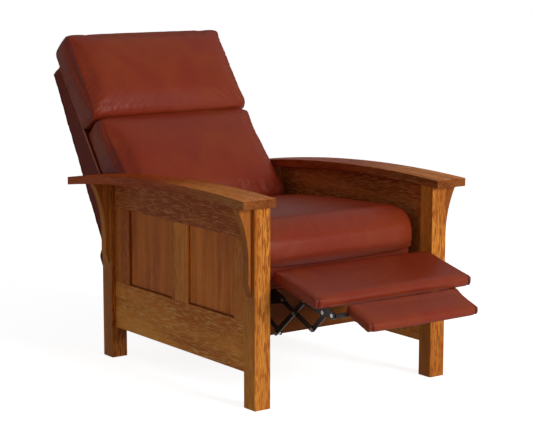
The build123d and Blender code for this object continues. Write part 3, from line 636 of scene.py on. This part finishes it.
def leather_group():
    """A dyed hide: mottled colour, pebbled height, creases, and painted shade where the stored shade mask
    is high.
    """
    tree, given, result = new_group(
        "dyed_hide",
        {
            "Vector": ("NodeSocketVector", None),
            "Dye": COLOUR_SOCKET,
            "Dye Warm": COLOUR_SOCKET,
            "Dye Deep And Shade": COLOUR_SOCKET,
            "Shade Mask": ("NodeSocketFloat", 0.0),
            "Gloss": ("NodeSocketFloat", 0.4),
        },
        FINISH_SOCKETS,
    )
    place = given["Vector"]
    mottle = spread(tree, noise(tree, place, 5.5, 5, 0.6), 0.36, 0.66)
    blotch = spread(tree, noise(tree, place, 19, 4, 0.4), 0.45, 0.70)
    pebbles = add_node(tree, "ShaderNodeTexVoronoi", {"Vector": place, "Scale": 620.0}).outputs["Distance"]
    fine = noise(tree, place, 900, 3)
    lines = {"Vector": place, "Scale": 75.0}
    cracks = add_node(tree, "ShaderNodeTexVoronoi", lines, feature="DISTANCE_TO_EDGE").outputs["Distance"]
    cracks = spread(tree, cracks, 0.0, 0.08)
    skin = blended(tree, mottle, given["Dye"], given["Dye Warm"])
    skin = blended(tree, sums(tree, "MULTIPLY", blotch, 0.08), skin, given["Dye Deep And Shade"])
    # Painted shade: where the shade mask is high, the hide is darkened towards its deep dye.
    skin = blended(tree, sums(tree, "MULTIPLY", given["Shade Mask"], 0.85), skin, given["Dye Deep And Shade"])
    tree.links.new(skin, result.inputs["Color"])
    rough = sums(tree, "MULTIPLY_ADD", mottle, 0.08, given["Gloss"])
    rough = sums(tree, "MULTIPLY_ADD", fine, 0.06, rough)
    tree.links.new(rough, result.inputs["Roughness"])
    height = sums(tree, "MULTIPLY_ADD", pebbles, -0.6, sums(tree, "MULTIPLY", cracks, 0.5))
    tree.links.new(height, result.inputs["Height"])
    return tree


DYED_HIDE = leather_group()


def leather(name, dye, warm, gloss, shine):
    """A leather finish darkened by the painted shade mask stored on the piece."""
    material, tree, shader, place = new_material(name)
    shade_mask = add_node(tree, "ShaderNodeAttribute", attribute_name="shade_mask").outputs["Fac"]
    group = add_node(tree, "ShaderNodeGroup", node_tree=DYED_HIDE)
    tree.links.new(place, group.inputs["Vector"])
    tree.links.new(shade_mask, group.inputs["Shade Mask"])
    for label, colour in (("Dye", dye), ("Dye Warm", warm), ("Dye Deep And Shade", HIDE_DEEP_AND_SHADE)):
        group.inputs[label].default_value = (*colour, 1)
    group.inputs["Gloss"].default_value = gloss
    finish_surface(tree, shader, group, HIDE_RELIEF, HIDE_RELIEF_SHARE)
    gloss_by_angle(tree, shader, shine)
    return material


LEATHER = leather("red_brown_leather", HIDE, HIDE_WARM, 0.29, 0.115)
# The same hide in darker colours: painted shade for the covers that sit in shadow.
SHADED_LEATHER = leather("dark_leather", SHADOW_HIDE, SHADOW_HIDE_WARM, 0.42, 0.06)


def read(piece, what="co"):
    """The piece's points or normals, one row each."""
    values = np.zeros(len(piece.data.vertices) * 3, np.float32)
    piece.data.vertices.foreach_get(what, values)
    return values.reshape(-1, 3).astype(np.float64)


def write(piece, points):
    """Move the piece's points."""
    piece.data.vertices.foreach_set("co", points.astype(np.float32).ravel())
    piece.data.update()


def own_terms(points, slope):
    """Points as how far they run along a piece, and how far they rise off its seat, in a side view."""
    run = -points[:, 1] * math.cos(slope) - points[:, 2] * math.sin(slope)
    rise = -points[:, 1] * math.sin(slope) + points[:, 2] * math.cos(slope)
    return run, rise


def keep_shade_mask(piece, values):
    """Store the painted shade mask that the leather reads."""
    mask = piece.data.attributes.new("shade_mask", "FLOAT", "POINT")
    mask.data.foreach_set("value", np.clip(values, 0, 1).astype(np.float32))


def shade_soft(piece):
    """Smooth shading on every face."""
    piece.data.polygons.foreach_set("use_smooth", [True] * len(piece.data.polygons))
    piece.data.update()


def soften(piece, times):
    """Round a mesh off, by smoothing it a number of times."""
    smoothing = piece.modifiers.new("soften", "SMOOTH")
    smoothing.factor = 0.5
    smoothing.iterations = times


def remeshed(name, source, voxel, smoothing):
    """A frame solid's shape as an even skin, with its corners rounded by smoothing."""
    piece = merged_copy(name, source, flat=False)
    skin = piece.modifiers.new("skin", "REMESH")
    skin.mode = "VOXEL"
    skin.voxel_size = voxel
    soften(piece, smoothing)
    work_in(piece)
    return piece


def covered(source, smoothing, voxel=COVER_VOXEL):
    """A leather-covered rail or panel: rounded edges and a faintly uneven skin."""
    piece = remeshed(f"covered_{source}", source, voxel, smoothing)
    points, normals = read(piece), read(piece, "normal")
    across, back, up = points.T
    wave = np.sin(across * 41 + 2 * np.sin(up * 23)) * np.sin(up * 37 + back * 29)
    write(piece, points + normals * (wave * WRINKLE)[:, None])
    keep_shade_mask(piece, np.zeros(len(points)))
    shade_soft(piece)
    # In leather coloured darker as painted shade.
    stand_for(piece, source, SHADED_LEATHER)
    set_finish(piece, "dark_leather")


covered("seat_front_rail", 5, voxel=0.004)

# Seat cushion: a thick foam block in a box cover, crowned on top, rolled over at the front.
# Its two end panels are sewn in all round, and the cover gathers a little at those seams.
# It lies loose on the springs and on the front rail, and its rounded front hangs down ahead of the rail.
SEAT_SLOPE = 0.0
CUSHION_VOXEL = 0.006
CUSHION_PRESSURE = 5.0
CUSHION_FRAMES = 13
SEAM_FROM_END = 0.012
SEAM_DEPTH = 0.0016
SEAM_WIDTH = 0.0028
GATHER_REACH = 0.028
GATHER_SPACING = 0.017
ON_SEAT = 0.6
ON_NEIGHBOUR = 0.8
UNDERNEATH = 0.8


def fill(piece, slope, pressure, cap, frames, against=0):
    """Blow the cover up over its filling, held where it lies on its seat, and cap how far a point moves.
    Against is 1 where its foot, and -1 where its top, meets another cushion and is held too."""
    start, normals = read(piece), read(piece, "normal")
    run_of, rise_of = own_terms(normals, slope)
    seated = (rise_of < -ON_SEAT) | (run_of * against > ON_NEIGHBOUR)
    held = piece.vertex_groups.new(name="held")
    held.add([int(i) for i in np.nonzero(seated)[0]], 1.0, "REPLACE")
    cloth = piece.modifiers.new("filling", "CLOTH")
    cloth.settings.use_pressure = True
    cloth.settings.uniform_pressure_force = pressure
    cloth.settings.effector_weights.gravity = 0
    cloth.settings.vertex_group_mass = "held"
    cloth.settings.quality = 4
    cloth.collision_settings.use_collision = False
    cloth.point_cache.frame_start = 1
    cloth.point_cache.frame_end = frames
    for step in range(1, frames + 1):
        scene.frame_set(step)
    work_in(piece)
    piece.vertex_groups.clear()
    scene.frame_set(1)
    moved = read(piece) - start
    length = np.maximum(np.linalg.norm(moved, axis=1), 1e-9)
    soft_cap = cap * np.tanh(length / cap)
    write(piece, start + moved * (soft_cap / length)[:, None])


def subdivided(piece):
    """One level of subdivision, so that seams and gathers have points to move."""
    finer = piece.modifiers.new("finer", "SUBSURF")
    finer.levels = 1
    finer.render_levels = 1
    work_in(piece)


def gathers(along, spacing, seed):
    """Uneven waves along a seam, from -1 to 1."""
    slow = np.sin(along / spacing * 1.7 + seed) + 0.7 * np.sin(along / spacing * 0.61 + 2.1 * seed)
    return np.sin(2 * math.pi * along / spacing + 1.6 * slow)


def sew_ends(piece, slope, gather):
    """Sew a cushion's two end panels in: a sunk seam round each, with the cover gathered beside it. Return
    painted shade for the seams and the hollows of the gathers.
    """
    points, normals = read(piece), read(piece, "normal")
    run, rise = own_terms(points, slope)
    from_middle = np.abs(points[:, 0])
    inside = from_middle.max() - SEAM_FROM_END - from_middle
    side = np.sign(points[:, 0])
    seam = np.exp(-((inside / SEAM_WIDTH) ** 2))
    fade = np.where(inside > 0, np.exp(-inside / GATHER_REACH), np.exp(inside / (GATHER_REACH * 0.4)))
    uneven = 0.55 + 0.45 * np.sin((run - rise) * 23 + side * 1.3)
    wave = gathers(run + rise, GATHER_SPACING, 0.7 + side * 0.4) * fade * uneven * (1 - seam)
    underneath = own_terms(normals, slope)[1] < -UNDERNEATH
    push = (-SEAM_DEPTH * seam + gather * wave) * ~underneath
    write(piece, points + normals * push[:, None])
    # Painted shade in the sunk seams and in the hollows of the gathers.
    return np.clip(seam * 0.4 + np.clip(-wave, 0, 1) * 0.35, 0, 1)


def cushion(source, slope, shape, against, cap, gather, painted_shade_under=None, pressed=None):
    """One loose cushion: shaped, filled, finely divided, sewn at its ends, in leather.
    Painted shade under, where given, tells how dark each point is painted as shade, where the cover turns
    under the front.
    Pressed, where given, moves points back that would push into the arms."""
    piece = remeshed(f"filled_{source}", source, CUSHION_VOXEL, 4)
    shape(piece)
    soften(piece, 5)
    work_in(piece)
    fill(piece, slope, CUSHION_PRESSURE, cap, CUSHION_FRAMES, against)
    subdivided(piece)
    if pressed:
        write(piece, pressed(read(piece)))
    shade_mask = sew_ends(piece, slope, gather)
    keep_shade_mask(piece, shade_mask + (painted_shade_under(read(piece)) if painted_shade_under else 0))
    shade_soft(piece)
    stand_for(piece, source, LEATHER)
    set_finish(piece, "leather")


def eased(value, low, high):
    """0 below a span, 1 above it, and soft between."""
    share = np.clip((value - low) / (high - low), 0, 1)
    return share * share * (3 - 2 * share)


FRONT_BEND = 0.075
FRONT_SWELL = 0.020
LIP_CLEARANCE = 0.002
LIP_EDGE = 0.005
LIP_DROP = 0.030
LIP_STARTS = 0.02
LIP_FULL = 0.004
# Painted shade at the foot of the seat cushion's front: how dark it is, and how far up it reaches.
FRONT_FOOT_SHADE = 0.75
DARKEST_BELOW_RAIL = 0.014
LIGHT_ABOVE_RAIL = 0.038


def roll_over_rail(piece):
    """Bend the cover's front over in a wide roll, and let it sag ahead of the rail."""
    points = read(piece)
    low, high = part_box("seat_cushion")
    rail_low, rail_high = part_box("seat_front_rail")
    middle, half = (low.z + high.z) / 2, (high.z - low.z) / 2
    height = np.clip((points[:, 2] - middle) / half, 0, 1)
    ahead = np.clip((low.y + FRONT_BEND - points[:, 1]) / FRONT_BEND, 0, 1)
    points[:, 1] += FRONT_BEND * ahead * (1 - np.sqrt(1 - height**2 / 2))
    points[:, 2] -= half * height * (1 - np.sqrt(1 - ahead**2 / 2))
    height = np.clip((points[:, 2] - middle) / half, -1, 1)
    points[:, 1] -= FRONT_SWELL * ahead * (1 - 0.78 * height**2 - 0.22 * height**3)
    face = rail_low.y - LIP_CLEARANCE
    hanging = eased(-points[:, 1], -face, -face + LIP_EDGE)
    low_down = eased(-points[:, 2], -middle - LIP_STARTS, -rail_high.z - LIP_FULL)
    points[:, 2] -= LIP_DROP * hanging * low_down
    write(piece, points)


def front_foot_shade(points):
    """Painted shade along the foot of the cushion's front, where it turns under."""
    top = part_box("seat_front_rail")[1].z
    return FRONT_FOOT_SHADE * eased(-points[:, 2], -top - LIGHT_ABOVE_RAIL, -top + DARKEST_BELOW_RAIL)


cushion("seat_cushion", SEAT_SLOPE, roll_over_rail, 0, cap=0.006, gather=0.0022, painted_shade_under=front_foot_shade)

# Back: a wooden frame with two padded sides, covered in leather coloured darker as painted shade, like its
# cross rails and rear panel.
# The rear panel rolls over at its lower edge. A piped seam, lightened as a painted highlight, runs along
# each side's front edge, and a row of stitches beside it holds the cover down.
# Lighter leather for the piping: a painted highlight along each side's front edge.
PIPING_HIGHLIGHT_HIDE = (0.48, 0.13, 0.065)
PIPING_HIGHLIGHT_WARM = (0.56, 0.17, 0.085)
PIPING_HIGHLIGHT_LEATHER = leather("leather_painted_highlight", PIPING_HIGHLIGHT_HIDE, PIPING_HIGHLIGHT_WARM, 0.3, 0.2)
BACK_SLOPE = math.radians(60)
PIPING_RADIUS = 0.0032
PIPING_OUT = 0.0034
PIPING_SUNK = 0.0010
PIPING_TRIM = 0.004
STITCH_LENGTH = 0.0046
STITCH_SPACING = 0.0075
STITCH_RADIUS = 0.00055
STITCH_FROM_EDGE = 0.011
STITCH_SUNK = 0.0004
STITCH_TRIM = 0.012
EDGE_STEPS = 60
FRONT_FROM_REAR = 0.01
THREAD = worn("waxed_thread", (0.16, 0.05, 0.03), (0.22, 0.09, 0.05), 0.5, 0.55, 0.0)


def piping_tree():
    """A round cord laid along a line of points, closed at both ends."""
    tree, given, result = new_group(
        "piping",
        {
            "Path": ("NodeSocketGeometry", None),
            "Radius": ("NodeSocketFloat", PIPING_RADIUS),
            "Sides": ("NodeSocketInt", 12),
            "Material": ("NodeSocketMaterial", None),
        },
        {"Geometry": "NodeSocketGeometry"},
        "GeometryNodeTree",
    )
    line = add_node(tree, "GeometryNodeMeshToCurve", {"Mesh": given["Path"]}).outputs["Curve"]
    ring = {"Resolution": given["Sides"], "Radius": given["Radius"]}
    profile = add_node(tree, "GeometryNodeCurvePrimitiveCircle", ring, mode="RADIUS").outputs["Curve"]
    sweep = {"Curve": line, "Profile Curve": profile, "Fill Caps": True}
    cord = add_node(tree, "GeometryNodeCurveToMesh", sweep).outputs["Mesh"]
    end_tree(tree, cord, given, result)
    return tree


def stitch_tree():
    """Short stitches of thread in a row along a line of points."""
    tree, given, result = new_group(
        "stitches",
        {
            "Path": ("NodeSocketGeometry", None),
            "Spacing": ("NodeSocketFloat", STITCH_SPACING),
            "Length": ("NodeSocketFloat", STITCH_LENGTH),
            "Radius": ("NodeSocketFloat", STITCH_RADIUS),
            "Material": ("NodeSocketMaterial", None),
        },
        {"Geometry": "NodeSocketGeometry"},
        "GeometryNodeTree",
    )
    line = add_node(tree, "GeometryNodeMeshToCurve", {"Mesh": given["Path"]}).outputs["Curve"]
    every = {"Curve": line, "Length": given["Spacing"]}
    points = add_node(tree, "GeometryNodeCurveToPoints", every, mode="LENGTH").outputs
    bar = {"Vertices": 6, "Radius": given["Radius"], "Depth": given["Length"]}
    stitch = add_node(tree, "GeometryNodeMeshCylinder", bar).outputs["Mesh"]
    row = {"Points": points["Points"], "Instance": stitch, "Rotation": points["Rotation"]}
    placed = add_node(tree, "GeometryNodeInstanceOnPoints", row).outputs["Instances"]
    end_tree(tree, placed, given, result)
    return tree


def move_in_own_terms(points, slope, run_by, rise_by):
    """Shift points along and off a cushion's seat."""
    points[:, 1] -= run_by * math.cos(slope) + rise_by * math.sin(slope)
    points[:, 2] += rise_by * math.cos(slope) - run_by * math.sin(slope)
    return points


def front_edge(source, slope, x, run_trim, rise_by):
    """The line along a solid's front edge in the side view, at a given place across."""
    run, rise = own_terms(read(nodes[source]), slope)
    in_front = rise > rise.min() + FRONT_FROM_REAR
    corners = sorted({(round(a, 5), round(b, 5)) for a, b in zip(run[in_front], rise[in_front])})
    corner_runs, corner_rises = zip(*corners)
    runs = np.linspace(corner_runs[0] + run_trim, corner_runs[-1] - run_trim, EDGE_STEPS)
    rises = np.interp(runs, corner_runs, corner_rises) + rise_by
    points = np.zeros((EDGE_STEPS, 3))
    points[:, 0] = x
    return move_in_own_terms(points, slope, runs, rises).tolist()


PIPING = piping_tree()
STITCHES = stitch_tree()
dress("back_rails", SHADED_LEATHER)
for side, sign in (("left", 1), ("right", -1)):
    source = f"back_side_{side}"
    covered(source, 8)
    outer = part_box(source)[1].x if sign > 0 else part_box(source)[0].x
    edge = front_edge(source, BACK_SLOPE, outer + sign * PIPING_OUT, PIPING_TRIM, -PIPING_SUNK)
    cord = grow(f"back_piping_{side}", PIPING, "back", "dark_leather", PIPING_HIGHLIGHT_LEATHER, edge)
    shade_soft(cord)
    row = front_edge(source, BACK_SLOPE, outer - sign * STITCH_SUNK, STITCH_TRIM, -STITCH_FROM_EDGE)
    grow(f"back_stitches_{side}", STITCHES, "back", "dark_leather", THREAD, row)
covered("outer_back", 6)

# Lower back cushion and head pillow: two cushions, one above the other, fixed to the back's frame.
# The arms and rear legs hold the lower one's ends in. The pillow overhangs the frame at the top
# and rolls over at its foot, where the cover gathers.
TOP_REACH = 0.07
TOP_RISE = 0.004
TOP_SWELL = 0.008
SWOLLEN_FROM_REAR = (0.03, 0.09)
REAR_TUCK = 0.006
TUCKED_FROM_REAR = (0.01, 0.07)
TUCKED_FROM_MIDDLE = (0.2, 0.29)
ARM_CLEARANCE = 0.002
ABOVE_ARMS = 0.006
FREE_HEIGHTS = (0.69, 0.74)
PRESS_DEPTH = 0.006


def reach_up(piece):
    """Press the lower cushion's top up against the pillow's foot, and tuck its ends in at the rear."""
    points = read(piece)
    run, rise = own_terms(points, BACK_SLOPE)
    from_rear, across = rise - rise.min(), np.abs(points[:, 0])
    near_top = eased(-run, -run.min() - TOP_REACH, -run.min())
    swell = TOP_RISE + TOP_SWELL * eased(from_rear, *SWOLLEN_FROM_REAR)
    rear = 1 - eased(from_rear, *TUCKED_FROM_REAR)
    points[:, 0] -= REAR_TUCK * rear * eased(across, *TUCKED_FROM_MIDDLE) * np.sign(points[:, 0])
    write(piece, move_in_own_terms(points, BACK_SLOPE, -near_top * swell, 0))


def between_arms(points):
    """Points kept just clear of the arms and rear legs, which hold the cushion's ends in."""
    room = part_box("bow_arm_left")[0].x - ARM_CLEARANCE
    room = room + ABOVE_ARMS * eased(points[:, 2], *FREE_HEIGHTS)
    free = room - PRESS_DEPTH
    beyond = np.maximum(np.abs(points[:, 0]) - free, 0)
    points[:, 0] -= np.sign(points[:, 0]) * (beyond - PRESS_DEPTH * np.tanh(beyond / PRESS_DEPTH))
    return points


FOOT_ROLL = 0.034
FOLD_SPACING = 0.018
FOLD_HEIGHT = 0.0032
FOLDS_FROM_FOOT = 0.036
FOLDS_WIDTH = 0.024
FOLDS_FROM_END = 0.11
LEFT_FOLDS_SHARE = 0.45


def roll_foot(piece):
    """Roll the pillow's foot over in a wide bend, and gather its cover there, most at its two ends."""
    points = read(piece)
    run, rise = own_terms(points, BACK_SLOPE)
    middle = (rise.min() + rise.max()) / 2
    share = np.clip((run - run.max()) / FOOT_ROLL + 1, 0, 1)
    drop = FOOT_ROLL * (1 - np.sqrt(1 - share**2)) * eased(rise, middle, rise.max())
    from_end = np.abs(points[:, 0]).max() - np.abs(points[:, 0])
    fade = np.exp(-from_end / FOLDS_FROM_END) * np.where(points[:, 0] < 0, 1.0, LEFT_FOLDS_SHARE)
    in_band = np.exp(-(((run.max() - run - FOLDS_FROM_FOOT) / FOLDS_WIDTH) ** 2))
    band = in_band * eased(rise, middle, rise.max())
    folds = FOLD_HEIGHT * gathers(points[:, 0], FOLD_SPACING, 0.9) * fade * band
    write(piece, move_in_own_terms(points, BACK_SLOPE, 0, folds - drop))


cushion("lower_back_cushion", BACK_SLOPE, reach_up, -1, cap=0.010, gather=0.0009, pressed=between_arms)
cushion("head_pillow", BACK_SLOPE, roll_foot, 1, cap=0.010, gather=0.0014)

# Footrest: a stiff board and thin foam under tight leather, which is folded at the front corners.
# A row of screws holds each bracket to the board. The flip pad beyond is made the same way, on its
# own steel carrier.
PAD_SLOPE = math.radians(13.9)
FLIP_SLOPE = math.radians(21)
BRACKET_SCREW_COUNT = 4
BRACKET_INSET = 0.015
SCREW_CENTRE_IN = 1.6 * SCREW_RADIUS
FLANGE_DEPTH = 0.001
PAD_VOXEL = 0.0045
PAD_PRESSURE = 4.0
PAD_FRAMES = 8
PAD_CAP = 0.006
FOLD_FROM_SIDE = 0.013
FOLD_WIDTH = 0.0042
FOLD_REACH = 0.011
FOLD_DEPTH = 0.0036
REAR_REACH = 0.05
dress("footrest_board", oak_board("footrest_board_stain", "x", 61, 0.30, 0.0, 1.4))
bracket_screws = []
for side, sign in (("left", 1), ("right", -1)):
    points = read(nodes[f"footrest_bracket_{side}"])
    from_middle = np.abs(points[:, 0])
    flange = points[from_middle > from_middle.max() - FLANGE_DEPTH]
    run, rise = own_terms(flange, PAD_SLOPE)
    ends = np.zeros((2, 3))
    ends[:, 0] = sign * (from_middle.max() - SCREW_CENTRE_IN)
    runs = np.array([run.min() + BRACKET_INSET, run.max() - BRACKET_INSET])
    first, last = move_in_own_terms(ends, PAD_SLOPE, runs, rise.min())
    step = (last - first) / (BRACKET_SCREW_COUNT - 1)
    turn = (math.pi + PAD_SLOPE, 0, 0)
    values = {"Start": tuple(first), "Step": tuple(step), "Turn": turn, "Count": BRACKET_SCREW_COUNT}
    name = f"bracket_screws_{side}"
    bracket_screws.append(grow(name, SCREW_ROW, "footrest", "bright_steel", BRIGHT_STEEL, **values))
join_pieces("bracket_screws", bracket_screws)


def pad(source, slope, rear_swell=0.0):
    """One thin pad, folded at each front corner, with its rear edge swollen where it meets another."""
    piece = remeshed(f"filled_{source}", source, PAD_VOXEL, 6)
    fill(piece, slope, PAD_PRESSURE, PAD_CAP, PAD_FRAMES)
    subdivided(piece)
    points, normals = read(piece), read(piece, "normal")
    run, rise = own_terms(points, slope)
    from_side = np.abs(points[:, 0]).max() - np.abs(points[:, 0])
    near_rear = eased(-run, -run.min() - REAR_REACH, -run.min())
    swollen = rear_swell * near_rear * eased(rise, rise.min(), rise.max())
    points = move_in_own_terms(points, slope, 0, swollen)
    near_front = np.exp((run - run.max()) / FOLD_REACH)
    fold = np.exp(-(((from_side - FOLD_FROM_SIDE) / FOLD_WIDTH) ** 2)) * near_front
    write(piece, points - normals * (fold * FOLD_DEPTH)[:, None])
    # Painted shade in the fold at each front corner.
    keep_shade_mask(piece, fold * 2)
    shade_soft(piece)
    stand_for(piece, source, LEATHER)
    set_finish(piece, "leather")


pad("footrest_pad", PAD_SLOPE)
pad("flip_pad", FLIP_SLOPE, rear_swell=0.006)

# Studio: a white floor that runs to a white background, and keeps the chair's soft shadow.
# They look bright to the camera and in reflections, but light the chair only a little.
FLOOR_SIZE = 40
FLOOR_GLOW = 0.85
WORLD_LEVEL = 0.19
floor_mesh = bpy.data.meshes.new("studio_floor")
floor_shape = bmesh.new()
bmesh.ops.create_grid(floor_shape, x_segments=1, y_segments=1, size=FLOOR_SIZE)
floor_shape.to_mesh(floor_mesh)
floor_shape.free()
floor = bpy.data.objects.new("studio_floor", floor_mesh)
scene.collection.objects.link(floor)
floor_material, floor_tree, floor_shader, _ = new_material("white_floor")
floor_shader.inputs["Base Color"].default_value = (0.8, 0.8, 0.8, 1)
floor_shader.inputs["Roughness"].default_value = 0.9
floor_shader.inputs["Specular IOR Level"].default_value = 0.0


def seen_directly(tree):
    """1 for rays that show the background: those of the camera, and of gloss and glass."""
    light_path = add_node(tree, "ShaderNodeLightPath").outputs
    straight = sums(tree, "MAXIMUM", light_path["Is Camera Ray"], light_path["Is Glossy Ray"])
    return sums(tree, "MAXIMUM", straight, light_path["Is Transmission Ray"])


glow = sums(floor_tree, "MULTIPLY", seen_directly(floor_tree), FLOOR_GLOW)
floor_tree.links.new(glow, floor_shader.inputs["Emission Strength"])
floor_shader.inputs["Emission Color"].default_value = (1, 1, 1, 1)
floor.data.materials.append(floor_material)

world = bpy.data.worlds.new("studio")
scene.world = world
world.use_nodes = True
world_tree = world.node_tree
world_tree.nodes.clear()
level = spread(world_tree, seen_directly(world_tree), 0.0, 1.0, WORLD_LEVEL, 1.0)
backdrop = add_node(world_tree, "ShaderNodeBackground", {"Color": (1, 1, 1, 1), "Strength": level})
add_node(world_tree, "ShaderNodeOutputWorld", {"Surface": backdrop.outputs["Background"]})

# Light: one large soft box ahead of the chair, a little to its left and nearly three metres up.
# The pale room around it fills the shadows.
KEY_POWER = 480
KEY_SIZE = 3.2
KEY_PLACE = Vector((1.8, -8.5, 2.8))
AIM = Vector((0, 0, 0.5))


def soft_box(name, place, size, power):
    """A square soft light that faces the chair."""
    data = bpy.data.lights.new(name, "AREA")
    data.size = size
    data.energy = power
    lamp = bpy.data.objects.new(name, data)
    lamp.location = place
    lamp.rotation_euler = (AIM - place).to_track_quat("-Z", "Y").to_euler()
    scene.collection.objects.link(lamp)


soft_box("key_light", KEY_PLACE, KEY_SIZE, KEY_POWER)

# Camera: a long lens, ahead of the chair's right side and above its arms.
# Its place, turn and focal length are those that a fit to the photo gave.
CAMERA_PLACE = Vector((-3.2127, -4.4919, 1.3811))
CAMERA_FACING = Vector((0.57667, 0.80044, -0.16356))
PHOTO_WIDTH = 533
FOCAL_PIXELS = 1723.33
camera_data = bpy.data.cameras.new("camera")
camera_data.sensor_width = 36
camera_data.lens = camera_data.sensor_width * FOCAL_PIXELS / PHOTO_WIDTH
camera = bpy.data.objects.new("camera", camera_data)
camera.location = CAMERA_PLACE
camera.rotation_euler = CAMERA_FACING.to_track_quat("-Z", "Y").to_euler()
scene.collection.objects.link(camera)
scene.camera = camera
